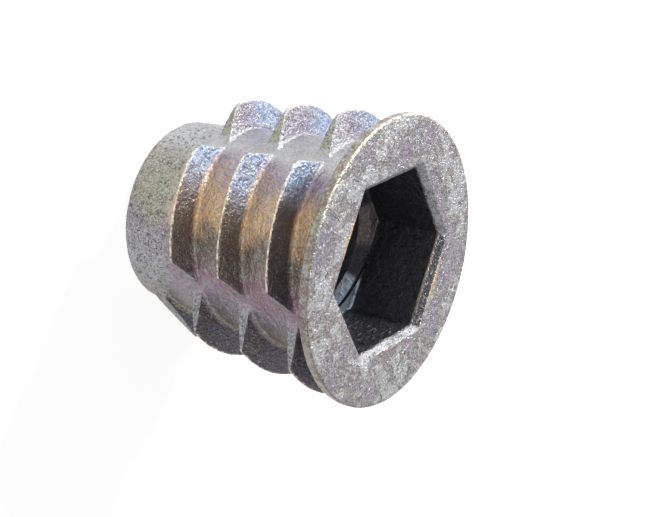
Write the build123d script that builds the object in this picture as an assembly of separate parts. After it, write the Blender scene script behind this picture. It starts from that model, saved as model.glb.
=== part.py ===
"""Flanged threaded insert for wood, cast in one piece from zinc alloy.

A tapered core carries a coarse outer thread that is broken into four rows of ribs, one row for
each slide of the casting die. A thin round flange closes the upper end. A hexagonal key socket
opens in the flange, and a tapped bore runs from the socket's floor down through the tail.

The insert stands on its tail. The origin is the centre of the tail face, and +Z runs up along
the bore and out of the flange. The rows of ribs lie along +X, +Y, -X and -Y. Sizes are in
millimetres and angles in degrees.
"""

import os
from math import atan, cos, degrees, radians, tan

from build123d import *

# Screw and key: the screw passes the socket's flats on its way to the bore
SCREW_DIAMETER = 8.0
SCREW_THREAD_DEPTH = 0.60  # from the screw's outside to the bore's minor diameter
BORE_LEAD_IN = 0.35
SOCKET_DEPTH = 3.90
SOCKET_CORNER_ANGLE = 86.0
SOCKET_CHAMFER = 0.30
DISH_MARGIN = 0.115  # shallow round step, measured out from the socket's chamfered corners
DISH_DEPTH = 0.05

# Walls of the core
LENGTH = 12.7  # tail face to flange face
SOCKET_WALL = 0.79  # outside the socket's corners, where the core meets the flange
TAIL_WALL = 1.20  # outside the bore, at the tail face
TAIL_ROUND = 0.18

# Flange
FLANGE_THICKNESS = 0.60
FLANGE_OVERHANG = 0.11  # beyond the crests of the ribs
FLANGE_FACE_ROUND = 0.12
FLANGE_SEAT_ROUND = 0.20

# Coarse outer thread, right-handed
PITCH = 2.94
RIB_HEIGHT = 1.55  # from the core to the crest, under the flange
CREST_TAPER = 4.58  # slope of the crests from the axis
RIB_BASE_WIDTH = 0.80  # along the axis, where the rib leaves the core
RIB_CREST_WIDTH = 0.18
UPPER_FLANK_LEAN = 0.25  # how far the upper flank falls back from root to crest
THREAD_START_HEIGHT = 1.94  # the upper root line above the tail face, at its start
THREAD_END_RISE = 0.143  # how far the upper root line runs up into the flange
RIB_SINK = 0.35  # how deep the ribs are set into the core

# Gaps between the rows of ribs: the angle of each from +X towards +Y, and the V's full opening
GAPS = ((45.0, 109.0), (135.8, 109.0), (224.4, 119.0), (315.0, 114.0))
START_GAP = 2  # the thread starts in this gap, counted from nought
GAP_SINK = 0.10  # how far the point of the V lies under the core's surface

# Low run-in on the first rib
RUN_IN_SETBACK = 12.5  # how much further round than its gap the first rib begins
RUN_IN_HEIGHT = 0.31  # above the core, where it is lowest
RUN_IN_TURN = 20.0  # from the thread's start to where the run-in is lowest

OVERSHOOT = 1.0  # how far a cutting body runs past the face that it opens
MATCH = 0.01  # an edge this near to a radius and a height is the one meant

# Worked out from the above
BORE_RADIUS = SCREW_DIAMETER / 2 - SCREW_THREAD_DEPTH
FLAT_TO_CORNER = 1 / cos(radians(30))
SOCKET_CORNER_RADIUS = SCREW_DIAMETER / 2 * FLAT_TO_CORNER
MOUTH_CORNER_RADIUS = SOCKET_CORNER_RADIUS + SOCKET_CHAMFER * FLAT_TO_CORNER
SEAT_HEIGHT = LENGTH - FLANGE_THICKNESS
CORE_TOP_RADIUS = SOCKET_CORNER_RADIUS + SOCKET_WALL
CORE_TAIL_RADIUS = BORE_RADIUS + TAIL_WALL
CORE_TAPER = degrees(atan((CORE_TOP_RADIUS - CORE_TAIL_RADIUS) / SEAT_HEIGHT))
FLANGE_RADIUS = CORE_TOP_RADIUS + RIB_HEIGHT + FLANGE_OVERHANG
THREAD_START_ANGLE, START_OPENING = GAPS[START_GAP]
THREAD_RISE = SEAT_HEIGHT + THREAD_END_RISE - THREAD_START_HEIGHT


def radius_at(height, top_radius, taper):
    """Radius of a cone at a height above the tail, from its radius under the flange."""
    return top_radius - (SEAT_HEIGHT - height) * tan(radians(taper))


def turned_body():
    """The core and its flange, as one turned form."""
    outline = Polyline(
        (0, 0, 0),
        (CORE_TAIL_RADIUS, 0, 0),
        (CORE_TOP_RADIUS, 0, SEAT_HEIGHT),
        (FLANGE_RADIUS, 0, SEAT_HEIGHT),
        (FLANGE_RADIUS, 0, LENGTH),
        (0, 0, LENGTH),
        close=True,
    )
    body = revolve(make_face(outline), axis=Axis.Z)
    rounded_rims = (
        (FLANGE_RADIUS, LENGTH, FLANGE_FACE_ROUND),
        (FLANGE_RADIUS, SEAT_HEIGHT, FLANGE_SEAT_ROUND),
        (CORE_TAIL_RADIUS, 0, TAIL_ROUND),
    )
    for radius, height, size in rounded_rims:
        circles = body.edges().filter_by(GeomType.CIRCLE)
        level = [e for e in circles if abs(e.center().Z - height) < MATCH]
        body = fillet([e for e in level if abs(e.radius - radius) < MATCH], size)
    return body


def rib_section():
    """The rib's four corners in order: height over the core, fall below the upper root, taper."""
    lower_flank_lean = RIB_BASE_WIDTH - UPPER_FLANK_LEAN - RIB_CREST_WIDTH
    sunk_share = RIB_SINK / RIB_HEIGHT
    return (
        (-RIB_SINK, -UPPER_FLANK_LEAN * sunk_share, CORE_TAPER),
        (RIB_HEIGHT, UPPER_FLANK_LEAN, CREST_TAPER),
        (RIB_HEIGHT, UPPER_FLANK_LEAN + RIB_CREST_WIDTH, CREST_TAPER),
        (-RIB_SINK, RIB_BASE_WIDTH + lower_flank_lean * sunk_share, CORE_TAPER),
    )


def wound_rib():
    """The thread as one unbroken rib, wound up the core."""
    lines = []
    for above_core, fall, taper in rib_section():
        height = THREAD_START_HEIGHT - fall
        line = Helix(
            pitch=PITCH / cos(radians(taper)),  # measured up the cone's side
            height=THREAD_RISE,
            radius=radius_at(height, CORE_TOP_RADIUS + above_core, taper),
            cone_angle=taper,
        )
        lines.append(Pos(0, 0, height) * Rot(0, 0, THREAD_START_ANGLE) * line)

    flanks = [Face.make_surface_from_curves(a, b) for a, b in zip(lines, lines[1:] + lines[:1])]
    ends = [make_face(Polyline(*[line @ end for line in lines], close=True)).face() for end in (0, 1)]
    return Solid(Shell(flanks + ends))


def row_gap(angle, opening, height=LENGTH):
    """The V-shaped gap between two rows of ribs, which follows the core's slope."""
    point = CORE_TAIL_RADIUS - GAP_SINK
    reach = FLANGE_RADIUS + OVERSHOOT - point
    half_width = reach * tan(radians(opening / 2))
    section = Polyline(
        (point, 0, 0),
        (point + reach, half_width, 0),
        (point + reach, -half_width, 0),
        close=True,
    )
    up_the_core = Vector(tan(radians(CORE_TAPER)), 0, 1).normalized()
    gap = extrude(make_face(section), amount=height / cos(radians(CORE_TAPER)), dir=up_the_core)
    return Rot(0, 0, angle) * gap


def run_in():
    """What trims the first rib back from its gap, flat and low, up to half way to the next turn."""
    top = THREAD_START_HEIGHT + PITCH / 2
    distance = radius_at(THREAD_START_HEIGHT, CORE_TOP_RADIUS, CORE_TAPER) + RUN_IN_HEIGHT
    block = Box(FLANGE_RADIUS, 2 * FLANGE_RADIUS, top, align=(Align.MIN, Align.CENTER, Align.MIN))
    flat = Rot(0, 0, THREAD_START_ANGLE + RUN_IN_TURN) * Pos(distance, 0, 0) * block
    return flat + row_gap(THREAD_START_ANGLE + RUN_IN_SETBACK, START_OPENING, top)


def outer_thread():
    """The rows of ribs."""
    ribs = wound_rib()
    for angle, opening in GAPS:
        ribs = ribs - row_gap(angle, opening)
    return ribs - run_in()


def key_socket():
    """The hexagonal recess for the key, with its chamfered mouth and shallow dish."""
    floor_of_dish = LENGTH - DISH_DEPTH
    mouth = Pos(0, 0, floor_of_dish) * Rot(0, 0, SOCKET_CORNER_ANGLE)
    hexagon = RegularPolygon(SOCKET_CORNER_RADIUS, 6)
    prism = mouth * extrude(hexagon, amount=DISH_DEPTH - SOCKET_DEPTH)
    wide_hexagon = RegularPolygon(MOUTH_CORNER_RADIUS, 6)
    chamfer = mouth * loft([Pos(0, 0, -SOCKET_CHAMFER) * hexagon, wide_hexagon])
    dish = Pos(0, 0, floor_of_dish) * Cylinder(
        MOUTH_CORNER_RADIUS + DISH_MARGIN,
        DISH_DEPTH + OVERSHOOT,
        align=(Align.CENTER, Align.CENTER, Align.MIN),
    )
    return prism + chamfer + dish


def tapped_bore():
    """The bore at its minor diameter, with a lead-in at the tail."""
    upright = (Align.CENTER, Align.CENTER, Align.MIN)
    bore = Cylinder(BORE_RADIUS, LENGTH - SOCKET_DEPTH + OVERSHOOT, align=upright)
    lead_in = Cone(BORE_RADIUS + BORE_LEAD_IN, BORE_RADIUS, BORE_LEAD_IN, align=upright)
    return bore + lead_in


def threaded_insert():
    """The whole casting."""
    return turned_body() + outer_thread() - key_socket() - tapped_bore()


if __name__ == "__main__":
    os.makedirs("parts", exist_ok=True)
    export_step(threaded_insert(), "parts/threaded_insert.step")
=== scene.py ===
"""Flanged threaded insert for wood: the visual model of the casting, and the stage it stands on.

The casting is modelled in millimetres about the frame's own origin, the centre of its tail face,
and brought to metres when it is finished.
"""

from math import cos, pi, radians, sin, tan

import bpy
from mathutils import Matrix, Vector


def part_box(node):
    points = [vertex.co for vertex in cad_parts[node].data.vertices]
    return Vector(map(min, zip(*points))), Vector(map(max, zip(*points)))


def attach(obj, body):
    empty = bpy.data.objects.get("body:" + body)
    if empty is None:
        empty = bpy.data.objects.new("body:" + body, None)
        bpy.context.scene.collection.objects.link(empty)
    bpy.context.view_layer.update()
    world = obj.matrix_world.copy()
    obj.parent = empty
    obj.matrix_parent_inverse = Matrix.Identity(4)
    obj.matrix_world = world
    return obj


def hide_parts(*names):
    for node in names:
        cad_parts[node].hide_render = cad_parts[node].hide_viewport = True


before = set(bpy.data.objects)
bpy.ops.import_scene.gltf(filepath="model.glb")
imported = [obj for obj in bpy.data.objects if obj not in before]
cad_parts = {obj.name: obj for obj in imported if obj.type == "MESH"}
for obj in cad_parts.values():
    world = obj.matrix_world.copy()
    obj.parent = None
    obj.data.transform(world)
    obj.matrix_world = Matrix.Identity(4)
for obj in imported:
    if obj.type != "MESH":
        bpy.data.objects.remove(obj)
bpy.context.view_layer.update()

bl_info = {
    "name": "Threaded insert",
    "version": (1, 0, 0),
    "blender": (4, 5, 0),
    "location": "View3D > Sidebar > Insert",
    "description": "Models a flanged, die-cast threaded insert and its stage",
    "category": "Object",
}

NODE = "threaded_insert"
NODE_LOW, NODE_HIGH = (Vector(corner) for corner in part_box(NODE))
MM = 0.001


def size_property(name, description, millimetres):
    """A length that a user may change, kept in metres."""
    return bpy.props.FloatProperty(
        name=name, description=description, default=millimetres * MM, unit="LENGTH", precision=6
    )


def angle_property(name, description, degrees_):
    """An angle that a user may change."""
    return bpy.props.FloatProperty(
        name=name, description=description, default=radians(degrees_), unit="ROTATION"
    )


def colour_property(name, description, colour):
    """A linear colour that a user may change."""
    return bpy.props.FloatVectorProperty(
        name=name, description=description, default=colour, subtype="COLOR", size=3, min=0, max=1
    )


class InsertSizes(bpy.types.PropertyGroup):
    """Sizes of the casting."""

    length: size_property("Length", "Tail face to flange face", (NODE_HIGH.z - NODE_LOW.z) / MM)
    flange_radius: size_property("Flange radius", "Outside of the flange", NODE_HIGH.x / MM)
    flange_thickness: size_property("Flange thickness", "Face to seat", 0.60)
    core_top_radius: size_property("Core radius, top", "Core where it meets the flange", 5.409)
    core_tail_radius: size_property("Core radius, tail", "Core at the tail face", 4.60)
    socket_flats: size_property("Across flats", "Width of the hexagonal socket", 8.0)
    socket_depth: size_property("Socket depth", "Flange face to the socket's floor", 3.90)
    socket_chamfer: size_property("Socket chamfer", "Bevel round the socket's mouth", 0.30)
    dish_radius: size_property("Dish radius", "Shallow round step about the socket", 5.08)
    dish_depth: size_property("Dish depth", "Depth of that step", 0.05)
    bore_radius: size_property("Bore radius", "Crests of the inner thread", 3.40)
    screw_pitch: size_property("Screw pitch", "Pitch of the inner thread", 1.25)
    screw_depth: size_property("Screw depth", "Depth of the inner thread's grooves", 0.60)
    rib_pitch: size_property("Rib pitch", "Pitch of the coarse outer thread", 2.94)
    rib_height: size_property("Rib height", "Core to crest, under the flange", 1.55)
    rib_base: size_property("Rib base", "Thickness of a rib where it leaves the core", 0.80)
    rib_crest: size_property("Rib crest", "Thickness of a rib at its crest", 0.18)
    rib_lean: size_property("Rib lean", "Fall of the upper flank from root to crest", 0.25)
    rib_start: size_property("Rib start", "Height at which the outer thread starts", 1.94)
    socket_turn: angle_property("Socket turn", "Where one corner of the socket points", 86.0)
    crest_taper: angle_property("Crest taper", "Slope of the ribs' crests", 4.58)
    grain: size_property("Grain", "Size of the cells that the cast surface is worked in", 0.055)


class InsertColours(bpy.types.PropertyGroup):
    """Colours of the bare casting and of the thin film on it, and of the painted highlights and shade."""

    silver: colour_property("Silver", "Clean cast zinc", (0.29, 0.285, 0.31))
    # Pale is worn patches and grain, and also painted highlight on the roots, the flanks and the socket's
    # chamfer.
    pale: colour_property("Pale", "Worn and bleached patches", (0.52, 0.525, 0.535))
    # Cream paints highlights: along the rib crests and on the flange's edge towards +Y.
    cream: colour_property("Cream", "Rubbed edges", (0.90, 0.82, 0.64))
    tan: colour_property("Tan", "Warm stain", (0.30, 0.26, 0.22))
    olive: colour_property("Olive", "Greenish film", (0.33, 0.33, 0.24))
    lilac: colour_property("Lilac", "Pinkish violet film", (0.35, 0.29, 0.36))
    blue: colour_property("Blue", "Blue film", (0.40, 0.52, 0.76))
    gold: colour_property("Gold", "Amber film", (0.76, 0.54, 0.32))
    magenta: colour_property("Magenta", "Magenta film", (0.32, 0.19, 0.23))
    # Brown is a stain and also painted shade on the flanks of the -X side.
    brown: colour_property("Brown", "Dark stain in the thread", (0.24, 0.19, 0.15))
    # Umber also paints shade: on the flanks of the far side and as a thin line on the flange's -Y edge.
    umber: colour_property("Umber", "Darkest stain in the thread", (0.11, 0.085, 0.075))
    # Dusk is a dark violet film in the grain and also painted shade on the flanks that face down or away from
    # the key lamp.
    dusk: colour_property("Dusk", "Dark violet film", (0.095, 0.088, 0.125))
    # Near black: real specks and pits, and painted shade on the socket's walls and the chamfer's +X facet.
    soot: colour_property("Soot", "Specks, pits and the socket's walls", (0.055, 0.054, 0.062))


# Gaps between the rows of ribs: the angle of each from +X towards +Y, and the V's full opening
GAPS = ((45.0, 109.0), (135.8, 109.0), (224.4, 119.0), (315.0, 114.0))
START_ANGLE, START_OPENING = GAPS[2]  # the outer thread starts in the third gap


def sizes_in_mm():
    """The sizes as plain numbers: lengths in millimetres, angles in radians."""
    group = bpy.context.scene.insert_sizes
    values = {}
    for name in group.__annotations__:
        value = getattr(group, name)
        values[name] = value if name in ("socket_turn", "crest_taper") else value / MM
    values["seat"] = values["length"] - values["flange_thickness"]
    values["core_slope"] = (values["core_top_radius"] - values["core_tail_radius"]) / values["seat"]
    return values


# Modelling tools


def deselect_all():
    if bpy.context.object and bpy.context.object.mode != "OBJECT":
        bpy.ops.object.mode_set(mode="OBJECT")
    bpy.ops.object.select_all(action="DESELECT")


def pick(piece):
    """Make one object the only one selected."""
    deselect_all()
    piece.select_set(True)
    bpy.context.view_layer.objects.active = piece


def place(name, turn=0.0, tilt=0.0, at=(0, 0, 0), stretch=(1, 1, 1)):
    """Name the new primitive, then fix its stretch, tilt, turn and place into its mesh."""
    piece = bpy.context.object
    piece.name = piece.data.name = name
    piece.scale = stretch
    bpy.ops.object.transform_apply(location=True, rotation=True, scale=True)
    piece.location = at
    bpy.ops.object.transform_apply(location=True, rotation=False, scale=False)
    piece.rotation_euler = (0, tilt, 0)
    bpy.ops.object.transform_apply(location=False, rotation=True, scale=False)
    piece.rotation_euler = (0, 0, turn)
    bpy.ops.object.transform_apply(location=False, rotation=True, scale=False)
    return piece


def drawn_line(name, points, close=False):
    """A line drawn from point to point by extruding one vertex."""
    deselect_all()
    bpy.ops.mesh.primitive_plane_add(size=1, location=(0, 0, 0))
    piece = bpy.context.object
    piece.name = piece.data.name = name
    bpy.ops.object.mode_set(mode="EDIT")
    bpy.ops.mesh.select_all(action="SELECT")
    bpy.ops.mesh.merge(type="CENTER")
    points = [Vector(point) for point in points]
    bpy.ops.transform.translate(value=points[0])
    for last, point in zip(points, points[1:]):
        bpy.ops.mesh.extrude_region_move(TRANSFORM_OT_translate={"value": point - last})
    if close:
        bpy.ops.mesh.select_all(action="SELECT")
        bpy.ops.mesh.edge_face_add()
        bpy.ops.mesh.delete(type="ONLY_FACE")
    bpy.ops.object.mode_set(mode="OBJECT")
    return piece


def tidy_shell():
    """Merge doubles and turn the active mesh's faces outwards."""
    bpy.ops.object.mode_set(mode="EDIT")
    bpy.ops.mesh.select_all(action="SELECT")
    bpy.ops.mesh.remove_doubles(threshold=0.0005)
    bpy.ops.mesh.normals_make_consistent(inside=False)
    bpy.ops.object.mode_set(mode="OBJECT")


def finish_with(piece, kind, **settings):
    """Add a modifier, set it and apply it."""
    pick(piece)
    bpy.ops.object.modifier_add(type=kind)
    modifier = piece.modifiers[-1]
    for name, value in settings.items():
        setattr(modifier, name, value)
    bpy.ops.object.modifier_apply(modifier=modifier.name)


def combine(piece, tool, operation):
    """Join a tool to a piece, or cut it away, and throw the tool away."""
    finish_with(piece, "BOOLEAN", object=tool, operation=operation, solver="MANIFOLD")
    bpy.data.objects.remove(tool, do_unlink=True)
    if not piece.data.polygons:
        raise RuntimeError(f"{piece.name}: nothing is left of it")


def turned(name, outline, steps):
    """A solid turned about the axis, from an outline of (radius, height) that starts and ends there."""
    piece = drawn_line(name, [(radius, 0, height) for radius, height in outline])
    pick(piece)
    bpy.ops.object.mode_set(mode="EDIT")
    bpy.ops.mesh.select_all(action="SELECT")
    bpy.ops.mesh.spin(steps=steps, angle=2 * pi, center=(0, 0, 0), axis=(0, 0, 1))
    bpy.ops.object.mode_set(mode="OBJECT")
    tidy_shell()
    return piece


def wound(name, section, start, rise, pitch, steps_a_turn):
    """A section of (radius, height) wound up the axis as a right-handed helix, closed at both ends."""
    turns = rise / pitch
    points = [(radius * cos(start), radius * sin(start), height) for radius, height in section]
    piece = drawn_line(name, points, close=True)
    steps = int(turns * steps_a_turn)
    finish_with(
        piece,
        "SCREW",
        axis="Z",
        angle=2 * pi * turns,
        screw_offset=rise,
        steps=steps,
        render_steps=steps,
        use_smooth_shade=False,
    )
    bpy.ops.object.mode_set(mode="EDIT")
    bpy.ops.mesh.select_all(action="SELECT")
    bpy.ops.mesh.fill_holes(sides=0)
    bpy.ops.object.mode_set(mode="OBJECT")
    tidy_shell()
    return piece


def arc(centre, radius, first, last, steps):
    """Points along an arc of a drawn outline, with its angles in degrees."""
    angles = (radians(first + (last - first) * step / steps) for step in range(steps + 1))
    return [(centre[0] + radius * cos(a), centre[1] + radius * sin(a)) for a in angles]


# The casting


def turned_body(s):
    """The core and the flange, with their rounded rims and the shallow dish in the face."""
    tail_round, face_round, seat_round, seat_fillet = 0.18, 0.12, 0.20, 0.10
    core, flange, seat, top = s["core_top_radius"], s["flange_radius"], s["seat"], s["length"]
    outline = [(0, 0)]
    outline += arc((s["core_tail_radius"] - tail_round, tail_round), tail_round, -90, 4, 6)
    outline += arc((core + seat_fillet, seat - seat_fillet), seat_fillet, 176, 90, 4)
    outline += arc((flange - seat_round, seat + seat_round), seat_round, -90, 0, 6)
    outline += arc((flange - face_round, top - face_round), face_round, 0, 90, 6)
    outline += [(s["dish_radius"], top), (s["dish_radius"] - 0.04, top - s["dish_depth"])]
    outline += [(0, top - s["dish_depth"])]
    return turned("insert_casting", outline, 256)


def wound_rib(s):
    """The outer thread as one unbroken rib, wound straight and then tapered."""
    crest_tail = s["core_top_radius"] + s["rib_height"] - s["seat"] * tan(s["crest_taper"])
    growth = tan(s["crest_taper"]) / crest_tail  # of the radius, for each millimetre up the axis
    crest = crest_tail * (1 + growth * s["rib_start"])
    core = s["core_tail_radius"] + s["core_slope"] * s["rib_start"]
    sunk, nose = core - 0.40, 0.07
    height = crest - core
    up = s["rib_lean"] / height
    down = (s["rib_base"] - s["rib_lean"] - s["rib_crest"]) / height
    upper, lower = s["rib_lean"], s["rib_lean"] + s["rib_crest"]
    falls = (
        (sunk, up * (sunk - core)),
        (crest - nose, upper - up * nose),
        (crest - 0.3 * nose, upper + 0.15 * nose),
        (crest, upper + 0.6 * nose),
        (crest, lower - 0.6 * nose),
        (crest - 0.3 * nose, lower - 0.1 * nose),
        (crest - nose, lower + down * nose),
        (sunk, s["rib_base"] + down * (core - sunk)),
    )
    section = []
    for radius, fall in falls:
        high = s["rib_start"] - fall
        section.append((radius / (1 + growth * s["rib_start"]), high))
    rise = s["seat"] + 0.143 - s["rib_start"]
    rib = wound("ribs", section, radians(START_ANGLE), rise, s["rib_pitch"], 180)
    heights = [vertex.co.z for vertex in rib.data.vertices]
    reach = max(heights) - min(heights)
    finish_with(
        rib, "SIMPLE_DEFORM", deform_method="TAPER", deform_axis="Z", factor=growth * reach
    )
    return rib


def gap_tool(s, angle, opening, height, point, slope):
    """A V-shaped prism, its point at a radius at the tail, that leans out by a slope as it rises."""
    reach = s["flange_radius"] + 1 - point
    deselect_all()
    bpy.ops.mesh.primitive_cone_add(
        vertices=3, radius1=reach / 1.5, radius2=reach / 1.5, depth=height, location=(0, 0, 0)
    )
    widen = tan(radians(opening) / 2) / tan(radians(30))
    tool = place("gap", stretch=(widen, 1, 1))  # the point of the V is on +Y
    bpy.ops.object.select_all(action="DESELECT")
    pick(tool)
    tool.rotation_euler = (0, 0, radians(90))  # the point of the V now looks along -X
    bpy.ops.object.transform_apply(location=False, rotation=True, scale=False)
    tool.location = (point + reach / 1.5, 0, height / 2)
    bpy.ops.object.transform_apply(location=True, rotation=False, scale=False)
    for vertex in tool.data.vertices:
        vertex.co.x += slope * vertex.co.z
    tool.rotation_euler = (0, 0, radians(angle))
    bpy.ops.object.transform_apply(location=False, rotation=True, scale=False)
    return tool


def run_in_tool(s):
    """The block that leaves the first rib low where the thread starts."""
    top = s["rib_start"] + s["rib_pitch"] / 2
    low = s["core_tail_radius"] + s["core_slope"] * s["rib_start"] + 0.31
    wide = s["flange_radius"]
    deselect_all()
    bpy.ops.mesh.primitive_cube_add(size=1, location=(0, 0, 0))
    return place(
        "run_in",
        turn=radians(START_ANGLE + 20),
        at=(low + wide / 2, 0, top / 2),
        stretch=(wide, 2 * wide, top),
    )


def socket_tool(s):
    """The hexagonal key socket, flaring at its mouth."""
    corner = s["socket_flats"] / 2 / cos(radians(30))
    flare = s["socket_chamfer"] / cos(radians(30))
    dish = s["length"] - s["dish_depth"]
    turn = s["socket_turn"] - pi / 2
    depth = s["socket_depth"] + 1
    deselect_all()
    bpy.ops.mesh.primitive_cylinder_add(vertices=6, radius=corner, depth=depth)
    socket = place("socket", turn=turn, at=(0, 0, s["length"] - s["socket_depth"] + depth / 2))
    deselect_all()
    mouth = s["socket_chamfer"] + 0.3
    bpy.ops.mesh.primitive_cone_add(
        vertices=6,
        radius1=corner,
        radius2=corner + flare * mouth / s["socket_chamfer"],
        depth=mouth,
    )
    chamfer = place("mouth", turn=turn, at=(0, 0, dish - s["socket_chamfer"] + mouth / 2))
    combine(socket, chamfer, "UNION")
    return socket


def bore_tool(s):
    """The tapped bore: its crests, its lead-in at the tail and its wound groove."""
    lead = 0.35
    top = s["length"] - s["socket_depth"] + 0.5
    radius = s["bore_radius"]
    bore = turned(
        "bore", [(0, -1), (radius + lead + 1, -1), (radius, lead), (radius, top), (0, top)], 128
    )
    half, deep, out = s["screw_pitch"] * 0.42, s["screw_depth"], 0.30
    section = (
        (radius - out, -half * (1 + out / deep * 0.85)),
        (radius + deep, -half * 0.15),
        (radius + deep, half * 0.15),
        (radius - out, half * (1 + out / deep * 0.85)),
    )
    section = [(r, z * (1 if abs(z) < half * 0.2 else 0.78)) for r, z in section]
    groove = wound("groove", section, 0.0, top - 0.4, s["screw_pitch"], 96)
    combine(bore, groove, "UNION")
    return bore


def cast_surface(piece, s):
    """Work the whole casting in one fine skin, soften its edges and leave them a little uneven."""
    grain = s["grain"]
    finish_with(piece, "REMESH", mode="VOXEL", voxel_size=grain, adaptivity=0.0)
    finish_with(piece, "SMOOTH", factor=0.5, iterations=3)
    for name, scale, strength in (("ripple", 0.9, 0.030), ("pitting", 0.22, 0.022)):
        texture = bpy.data.textures.new(name, "CLOUDS")
        texture.noise_scale = scale
        texture.noise_depth = 1
        finish_with(
            piece,
            "DISPLACE",
            texture=texture,
            texture_coords="LOCAL",
            direction="NORMAL",
            strength=strength,
            mid_level=1.0,
        )
        bpy.data.textures.remove(texture)
    triangles = 2 * len(piece.data.polygons)
    finish_with(piece, "DECIMATE", decimate_type="COLLAPSE", ratio=min(1.0, 190000 / triangles))
    for vertex in piece.data.vertices:
        vertex.co.z = min(max(vertex.co.z, 0.0), s["length"])


class INSERT_OT_casting(bpy.types.Operator):
    """Model the casting, give it its finish and let it stand for the solid"""

    bl_idname = "insert.casting"
    bl_label = "Casting"

    def execute(self, context):
        s = sizes_in_mm()
        ribs = wound_rib(s)
        sunk_point = s["core_tail_radius"] - 0.10
        crest_slope = tan(s["crest_taper"])
        crest_tail = s["core_top_radius"] + s["rib_height"] - s["seat"] * crest_slope
        for angle, opening in GAPS:
            v = gap_tool(s, angle, opening, s["length"], sunk_point, s["core_slope"])
            combine(ribs, v, "DIFFERENCE")
            corners = gap_tool(s, angle, 160.0, s["length"], crest_tail - 0.70, crest_slope)
            combine(ribs, corners, "DIFFERENCE")
        first_turn = s["rib_start"] + s["rib_pitch"] / 2
        combine(ribs, run_in_tool(s), "DIFFERENCE")
        setback = gap_tool(
            s, START_ANGLE + 12.5, START_OPENING, first_turn, sunk_point, s["core_slope"]
        )
        combine(ribs, setback, "DIFFERENCE")

        casting = turned_body(s)
        combine(casting, ribs, "UNION")
        combine(casting, socket_tool(s), "DIFFERENCE")
        combine(casting, bore_tool(s), "DIFFERENCE")
        cast_surface(casting, s)

        pick(casting)
        casting.scale = (MM, MM, MM)
        bpy.ops.object.transform_apply(location=False, rotation=False, scale=True)
        bpy.ops.object.shade_smooth()
        casting.data.materials.clear()
        casting.data.materials.append(cast_zinc())
        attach(casting, "root")
        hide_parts(NODE)
        return {"FINISHED"}


# Materials


class Wire:
    """A socket of a material's tree, with the maths that an expression needs."""

    def __init__(self, tree, socket=None):
        self.tree = tree
        self.socket = socket

    def node(self, kind, settings=None, sockets=None, output=0):
        """Add a node, set it, then give its sockets their values or links."""
        made = self.tree.nodes.new(kind)
        for name, value in (settings or {}).items():
            if name == "stops":
                stops = made.color_ramp.elements
                while len(stops) < len(value):
                    stops.new(0.5)
                for stop, (position, colour) in zip(stops, value):
                    stop.position = position
                    stop.color = (*colour, 1)
            else:
                setattr(made, name, value)
        for key, value in (sockets or {}).items():
            if isinstance(value, Wire):
                self.tree.links.new(value.socket, made.inputs[key])
            else:
                made.inputs[key].default_value = value
        return Wire(self.tree, made.outputs[output])

    def maths(self, operation, *others):
        values = dict(enumerate((self, *others)))
        return self.node("ShaderNodeMath", {"operation": operation}, values)

    def reflected(self, operation, first):
        return self.node("ShaderNodeMath", {"operation": operation}, {0: first, 1: self})

    def __add__(self, other):
        return self.maths("ADD", other)

    __radd__ = __add__

    def __sub__(self, other):
        return self.maths("SUBTRACT", other)

    def __rsub__(self, other):
        return self.reflected("SUBTRACT", other)

    def __mul__(self, other):
        return self.maths("MULTIPLY", other)

    __rmul__ = __mul__

    def __truediv__(self, other):
        return self.maths("DIVIDE", other)

    def band(self, low, high):
        """Nought below low, one above high, and smooth between; high may be under low."""
        return self.node(
            "ShaderNodeMapRange",
            {"interpolation_type": "SMOOTHSTEP", "clamp": True},
            {"Value": self, "From Min": low, "From Max": high, "To Min": 0.0, "To Max": 1.0},
        )

    def ramp(self, *stops):
        return self.node("ShaderNodeValToRGB", {"stops": stops}, {0: self})

    def blend(self, base, over, mode="MIX"):
        """Lay a colour over a base where this mask is one."""
        colours = [c if isinstance(c, Wire) else (*c, 1) for c in (base, over)]
        return self.node(
            "ShaderNodeMix",
            {"data_type": "RGBA", "blend_type": mode, "clamp_factor": True},
            {0: self, 6: colours[0], 7: colours[1]},
            output=2,
        )


def new_material(name):
    material = bpy.data.materials.new(name)
    material.use_nodes = True
    tree = material.node_tree
    shader = tree.nodes["Principled BSDF"]
    return material, Wire(tree), shader


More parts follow.
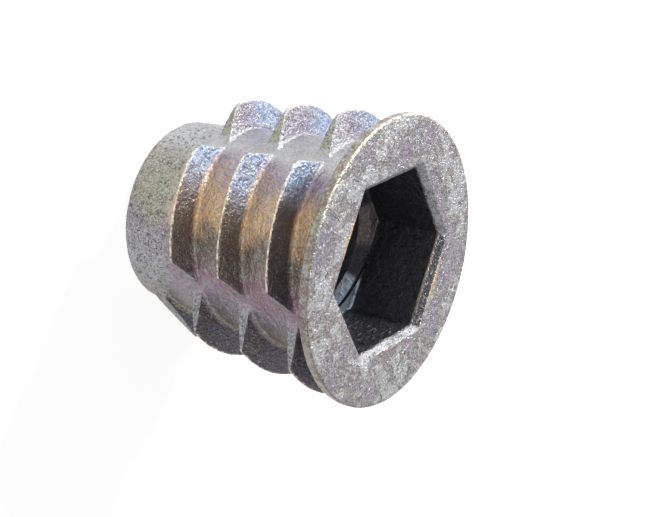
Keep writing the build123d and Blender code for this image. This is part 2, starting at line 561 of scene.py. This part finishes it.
def cast_zinc():
    """Bare zinc die casting with a thin uneven film, dark specks and smoother edges, with painted highlights
    and glints, a painted reflection in the socket, and painted shade in the socket and on the flanks turned
    from the key lamp.
    """
    material, start, shader = new_material("cast_zinc")
    tree = material.node_tree
    s = sizes_in_mm()
    group = bpy.context.scene.insert_colours
    c = {name: tuple(getattr(group, name)) for name in group.__annotations__}

    place_ = start.node("ShaderNodeTexCoord", output="Object")
    facing = start.node("ShaderNodeTexCoord", output="Normal")
    at = start.node("ShaderNodeVectorMath", {"operation": "SCALE"}, {0: place_, "Scale": 1 / MM})
    x, y, z = (start.node("ShaderNodeSeparateXYZ", sockets={0: at}, output=i) for i in range(3))
    up = start.node("ShaderNodeSeparateXYZ", sockets={0: facing}, output=2)
    radius = (x * x + y * y).maths("SQRT")
    turn = y.maths("ARCTAN2", x) / (2 * pi)
    turn = turn + (turn * -1).band(0.0, 0.0001)  # nought at +X, a quarter at +Y, up to one

    def noise(scale, detail=2.0, roughness=0.5, offset=(0, 0, 0), stretch=(1, 1, 1)):
        moved = start.node("ShaderNodeMapping", sockets={0: at, 1: offset, 3: stretch})
        return start.node(
            "ShaderNodeTexNoise",
            sockets={"Vector": moved, "Scale": scale, "Detail": detail, "Roughness": roughness},
        )

    # Where things are
    core = z * s["core_slope"] + s["core_tail_radius"]
    crest = z * tan(s["crest_taper"]) + (
        s["core_top_radius"] + s["rib_height"] - s["seat"] * tan(s["crest_taper"])
    )
    seat, top = s["seat"], s["length"]
    corner = s["socket_flats"] / 2 / cos(radians(30))

    broad = noise(0.28, 2.0, offset=(3.1, 0.4, 7.7))
    patches = noise(0.8, 5.0, 0.65, offset=(1.7, 5.2, 0.3))
    mottle = noise(2.4, 4.0, 0.65, offset=(6.0, 2.2, 1.1))
    specks = noise(5.0, 3.0, 0.7, offset=(2.0, 9.0, 4.0))
    grit = noise(11.0, 2.0, 0.6)
    glints = noise(15.0, 1.0, 0.5, offset=(4.0, 4.0, 8.0))

    under_flange = z.band(seat + 0.05, seat - 0.1)
    outside = radius.band(corner - 0.1, corner)
    face = z.band(top - 0.16, top - 0.08) * up.band(0.75, 0.93) * outside
    rim = z.band(seat - 0.02, seat + 0.05) * radius.band(corner + 0.5, corner + 0.7)
    face_edge = (radius - s["flange_radius"]).band(-0.16, -0.06) * z.band(top - 0.16, top - 0.06)
    chamfer = radius.band(corner + 0.55, corner + 0.4) * z.band(top - 0.40, top - 0.30)
    chamfer = chamfer * up.band(0.95, 0.85)
    raised = (radius - core).band(0.10, 0.30) * under_flange
    upper_flank = raised * up.band(0.45, 0.75)
    lower_flank = raised * up.band(-0.25, -0.6)
    rib_end = raised * (radius - crest).band(-0.12, -0.2) * up.maths("ABSOLUTE").band(0.45, 0.3)
    crests = (radius - crest + (specks - 0.5) * 0.5).band(-0.09, 0.0) * under_flange
    inside = (radius - core).band(-0.15, -0.35) * z.band(top - 0.42, top - 0.50)
    floor = inside * up.band(0.5, 0.8) * z.band(seat - 4.2, seat - 3.6)
    socket_floor_reflection = floor * (turn - 0.900).maths("ABSOLUTE").band(0.065, 0.045)
    dim_corner = floor * (turn - 0.075).maths("ABSOLUTE").band(0.060, 0.030)
    tail = (z + mottle * 0.8).band(3.7, 2.7)

    # The film drifts from colour to colour round the casting, and with it painted highlight and shade by side
    uneven = turn + (broad - 0.5) * 0.14 + (patches - 0.5) * 0.06
    drift = uneven.maths("FRACT")
    grainy = (uneven + (grit - 0.5) * 0.16).maths("FRACT")
    # Film colours round the core, with a pale painted highlight on the roots about 140 degrees round from +X.
    root_film_and_highlight = drift.ramp(
        (0.00, c["gold"]),
        (0.12, c["lilac"]),
        (0.30, c["silver"]),
        (0.39, c["pale"]),
        (0.43, c["lilac"]),
        (0.475, c["gold"]),
        (0.515, c["gold"]),
        (0.545, c["brown"]),
        (0.575, c["tan"]),
        (0.60, c["magenta"]),
        (0.635, c["lilac"]),
        (0.69, c["tan"]),
        (0.80, c["brown"]),
        (0.92, c["tan"]),
        (1.00, c["gold"]),
    )
    # Upper flanks round the casting: film colours, with painted shade (brown, violet and near black) on the
    # side turned from the key lamp, and painted light (pale and blue) towards +Y.
    flank_film_and_shade = grainy.ramp(
        (0.00, c["brown"]),
        (0.14, c["lilac"]),
        (0.25, c["blue"]),
        (0.31, c["lilac"]),
        (0.37, c["pale"]),
        (0.435, c["blue"]),
        (0.49, c["brown"]),
        (0.57, c["brown"]),
        (0.63, c["dusk"]),
        (0.68, c["umber"]),
        (0.74, c["dusk"]),
        (0.80, c["umber"]),
        (0.86, c["dusk"]),
        (0.94, c["brown"]),
        (1.00, c["brown"]),
    )
    end_film = turn.ramp(
        (0.00, c["olive"]),
        (0.35, c["olive"]),
        (0.45, c["olive"]),
        (0.62, c["silver"]),
        (0.80, c["olive"]),
        (1.00, c["olive"]),
    )
    tail_film = grainy.ramp(
        (0.00, c["tan"]),
        (0.28, c["silver"]),
        (0.38, c["pale"]),
        (0.42, c["olive"]),
        (0.51, c["olive"]),
        (0.55, c["lilac"]),
        (0.60, c["pale"]),
        (0.68, c["tan"]),
        (0.80, c["olive"]),
        (1.00, c["tan"]),
    )
    face_film = (patches + (broad - 0.5) * 0.6 + (mottle - 0.5) * 0.3).ramp(
        (0.34, c["lilac"]), (0.44, c["silver"]), (0.51, c["tan"]), (0.57, c["pale"])
    )

    colour = tail.blend(root_film_and_highlight, tail_film)
    # Upper flanks near the flange, from the -X side round, go darker violet.
    flank_film_and_shade = ((z - 8.2 + mottle).band(0.0, 1.4) * drift.band(0.46, 0.50) * 0.6).blend(flank_film_and_shade, c["dusk"])
    colour = upper_flank.blend(colour, flank_film_and_shade)
    # Painted shade: the flanks that face down are dusk all over.
    colour = lower_flank.blend(colour, c["dusk"])
    colour = rib_end.blend(colour, end_film)
    rim_film = mottle.band(0.42, 0.64).blend(c["brown"], c["olive"])
    colour = rim.blend(colour, rim_film)
    colour = face.blend(colour, face_film)
    shaded = x.band(0.0, 1.0) * (y + 0.3).maths("ABSOLUTE").band(2.45, 2.25)
    # Painted light: the socket's chamfer is made pale and silver all round.
    colour = chamfer.blend(colour, mottle.band(0.40, 0.50).blend(c["silver"], c["pale"]))

    # Worn, stained and pitted places, with painted highlights, glints, a reflection and shade
    # Pale marks are held back on the upper flanks of the far side, where shade is painted.
    outside_shaded_flanks = 1 - upper_flank * turn.band(0.43, 0.49) * 0.75
    bleached = mottle.band(0.48, 0.64) * patches.band(0.42, 0.56) * outside_shaded_flanks
    colour = (bleached * 0.6).blend(colour, c["pale"])
    coarse = (1 - under_flange * (1 - raised) * (1 - tail) * 0.65) * (1 - rim * (1 - face) * 0.5)
    dark = specks.band(0.52, 0.60) * mottle.band(0.62, 0.42)
    colour = (dark * coarse * (0.62 + tail * 0.20)).blend(colour, c["soot"])
    colour = (grit.band(0.50, 0.37) * coarse * 0.62).blend(colour, c["dusk"])
    colour = (grit.band(0.53, 0.65) * coarse * outside_shaded_flanks * 0.65).blend(colour, c["pale"])
    # Painted highlight: cream along the rib crests, broken up by grit.
    colour = (crests * (0.55 + grit.band(0.45, 0.60) * 0.45)).blend(colour, c["cream"])
    # Painted highlight: cream on the flange's rounded edge on the +Y side, where the key lamp stands.
    colour = (face_edge * y.band(-0.5, 2.0) * specks.band(0.35, 0.55) * 0.8).blend(colour, c["cream"])
    # Painted shade: a broken umber line on the flange's rounded edge on the -Y side.
    colour = (face_edge * y.band(0.5, -1.0) * specks.band(0.60, 0.40) * 0.6).blend(colour, c["umber"])
    scratches = noise(7.0, 0.0, stretch=(0.15, 0.6, 1.5)).band(0.66, 0.74) * y.band(-2.6, -3.2)
    # Painted shade: the chamfer's facet towards +X is near black, with specks.
    colour = (chamfer * shaded * specks.band(0.68, 0.56)).blend(colour, c["soot"])
    # Painted shade: the socket's walls are near black, with pale scratches on its -Y wall.
    colour = inside.blend(colour, (scratches * 0.5).blend(c["soot"], c["pale"]))
    colour = (dim_corner * 0.5).blend(colour, c["tan"])
    # Painted reflection: pale blue in one corner of the socket's floor.
    colour = (socket_floor_reflection * mottle.band(0.35, 0.5)).blend(colour, (0.62, 0.74, 0.86))
    # Painted glints: small pale-white flecks, also smoother, everywhere but inside the socket.
    painted_glint = glints.band(0.64, 0.72)
    colour = (painted_glint * (1 - inside) * 0.5).blend(colour, (0.85, 0.87, 0.9))

    roughness = 0.27 + mottle * 0.14 + dark * 0.2 - painted_glint * 0.15 - (crests + face_edge) * 0.12
    height = grit * 0.45 + specks * 0.5 + mottle * 0.9
    bump = start.node(
        "ShaderNodeBump", sockets={"Strength": 1.0, "Distance": 0.00014, "Height": height}
    )
    metal = 0.80 - bleached * 0.30 - chamfer * (1 - shaded) * 0.45
    links = tree.links
    links.new(metal.socket, shader.inputs["Metallic"])
    links.new(colour.socket, shader.inputs["Base Color"])
    links.new(roughness.socket, shader.inputs["Roughness"])
    links.new(bump.socket, shader.inputs["Normal"])
    return material


# The stage


def white_for_camera(start):
    """One where the ray comes from the camera, a mirror or glass."""
    path = [
        start.node("ShaderNodeLightPath", output=name)
        for name in ("Is Camera Ray", "Is Glossy Ray", "Is Transmission Ray")
    ]
    return path[0].maths("MAXIMUM", path[1]).maths("MAXIMUM", path[2])


class INSERT_OT_stage(bpy.types.Operator):
    """Set out the pale floor, the soft light and the camera"""

    bl_idname = "insert.stage"
    bl_label = "Stage"

    def execute(self, context):
        scene = context.scene
        scene.view_settings.view_transform = "Standard"

        deselect_all()
        bpy.ops.mesh.primitive_plane_add(size=0.8, location=(0, 0, NODE_LOW.z))
        floor = context.object
        floor.name = floor.data.name = "floor"
        pick(floor)
        bpy.ops.object.transform_apply(location=True, rotation=True, scale=True)
        material = bpy.data.materials.new("pale_floor")
        material.use_nodes = True
        tree = material.node_tree
        tree.nodes.clear()
        start = Wire(tree)
        seen = white_for_camera(start)
        glow = start.node("ShaderNodeEmission", sockets={"Color": (1, 1, 1, 1), "Strength": seen * 0.8})
        paint = start.node("ShaderNodeBsdfDiffuse", sockets={"Color": (0.6, 0.6, 0.6, 1)})
        both = start.node("ShaderNodeAddShader", sockets={0: glow, 1: paint})
        output = tree.nodes.new("ShaderNodeOutputMaterial")
        tree.links.new(both.socket, output.inputs["Surface"])
        floor.data.materials.append(material)

        world = bpy.data.worlds.new("studio")
        world.use_nodes = True
        scene.world = world
        start = Wire(world.node_tree)
        seen = white_for_camera(start)
        background = world.node_tree.nodes["Background"]
        background.inputs["Color"].default_value = (1, 1, 1, 1)
        strength = 0.25 + seen * 0.75
        world.node_tree.links.new(strength.socket, background.inputs["Strength"])

        centre = Vector((0, 0, (NODE_LOW.z + NODE_HIGH.z) / 2))
        lamps = (
            ("key", (0.22, 0.80, 0.56), 0.14, 0.040, 0.26),
            ("fill", (-0.75, -0.35, 0.55), 0.16, 0.10, 0.030),
        )
        for name, direction, distance, width, power in lamps:
            light = bpy.data.lights.new(name, "AREA")
            light.shape = "SQUARE"
            light.size = width
            light.energy = power
            lamp = bpy.data.objects.new(name, light)
            scene.collection.objects.link(lamp)
            towards = Vector(direction).normalized()
            lamp.location = centre + towards * distance
            lamp.rotation_euler = (-towards).to_track_quat("-Z", "Y").to_euler()

        lens = bpy.data.cameras.new("camera")
        camera = bpy.data.objects.new("camera", lens)
        scene.collection.objects.link(camera)
        lens.sensor_width = 36
        lens.lens = 88.6
        lens.clip_start = 0.001
        camera.location = Vector((-65.088, -2.487, 49.559)) * MM
        camera.rotation_euler = [radians(a) for a in (-21.499, -55.332, 27.239)]
        scene.camera = camera
        return {"FINISHED"}


class INSERT_PT_panel(bpy.types.Panel):
    """Sizes, colours and steps of the threaded insert"""

    bl_idname = "INSERT_PT_panel"
    bl_label = "Threaded insert"
    bl_space_type = "VIEW_3D"
    bl_region_type = "UI"
    bl_category = "Insert"

    def draw(self, context):
        layout = self.layout
        for operator in STEPS:
            layout.operator(operator.bl_idname)
        for title, group in (
            ("Sizes", context.scene.insert_sizes),
            ("Colours", context.scene.insert_colours),
        ):
            box = layout.box()
            box.label(text=title)
            for name in group.__annotations__:
                box.prop(group, name)


STEPS = (INSERT_OT_stage, INSERT_OT_casting)
CLASSES = (InsertSizes, InsertColours, *STEPS, INSERT_PT_panel)


def register():
    for each in CLASSES:
        bpy.utils.register_class(each)
    bpy.types.Scene.insert_sizes = bpy.props.PointerProperty(type=InsertSizes)
    bpy.types.Scene.insert_colours = bpy.props.PointerProperty(type=InsertColours)


def unregister():
    del bpy.types.Scene.insert_colours
    del bpy.types.Scene.insert_sizes
    for each in reversed(CLASSES):
        bpy.utils.unregister_class(each)


def main():
    register()
    bpy.ops.insert.stage()
    bpy.ops.insert.casting()


if __name__ == "__main__":
    main()
